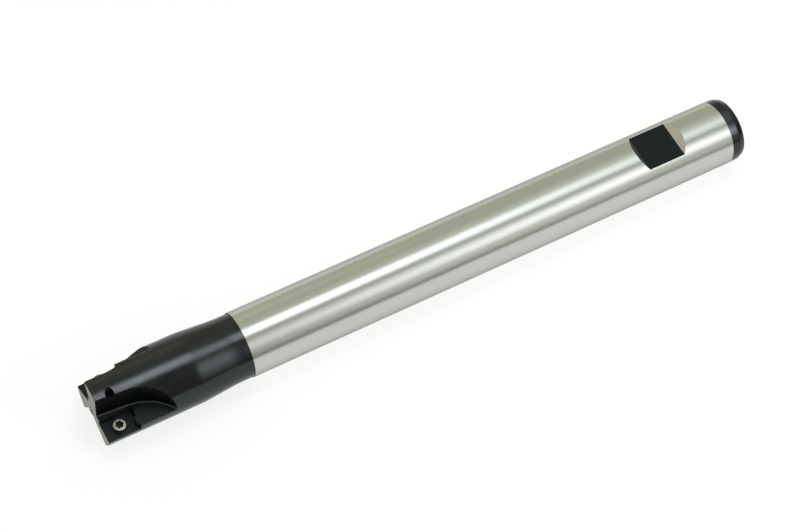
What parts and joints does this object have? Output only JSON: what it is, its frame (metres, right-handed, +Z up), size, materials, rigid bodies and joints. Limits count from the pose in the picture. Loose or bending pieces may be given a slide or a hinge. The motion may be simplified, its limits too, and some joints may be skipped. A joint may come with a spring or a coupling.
{
  "type": "indexable end mill",
  "caption": "Long-reach indexable square-shoulder end mill: blackened head with bare insert seats and their screws, ground cylindrical shank with a Weldon flat.",
  "frame": {"origin": "below the middle of the tool's length, on the surface that it lies on", "axes": "+X along the tool axis from the cutting end to the rear end, +Z up, square to the Weldon flat and to the first insert seat"},
  "size_m": [0.2032, 0.0204, 0.0204],
  "materials": {
    "body_steel": "ground bright along the shank, black oxide on the head, the flat and the rear band",
    "screw_steel": "bright plated steel"
  },
  "bodies": {
    "mill_body": {"mill_body": "body_steel"},
    "insert_screw_1": {"insert_screw_1": "screw_steel"},
    "insert_screw_2": {"insert_screw_2": "screw_steel"},
    "insert_screw_3": {"insert_screw_3": "screw_steel"}
  },
  "joints": [
    {"name": "insert_screw_1_feed", "type": "slide", "parent": "mill_body", "child": "insert_screw_1", "axis": [0, 0, 1], "range_m": [-0.0005, 0.004]},
    {"name": "insert_screw_2_feed", "type": "slide", "parent": "mill_body", "child": "insert_screw_2", "axis": [0, 0.866, -0.5], "range_m": [-0.0005, 0.004]},
    {"name": "insert_screw_3_feed", "type": "slide", "parent": "mill_body", "child": "insert_screw_3", "axis": [0, -0.866, -0.5], "range_m": [-0.0005, 0.004]}
  ]
}
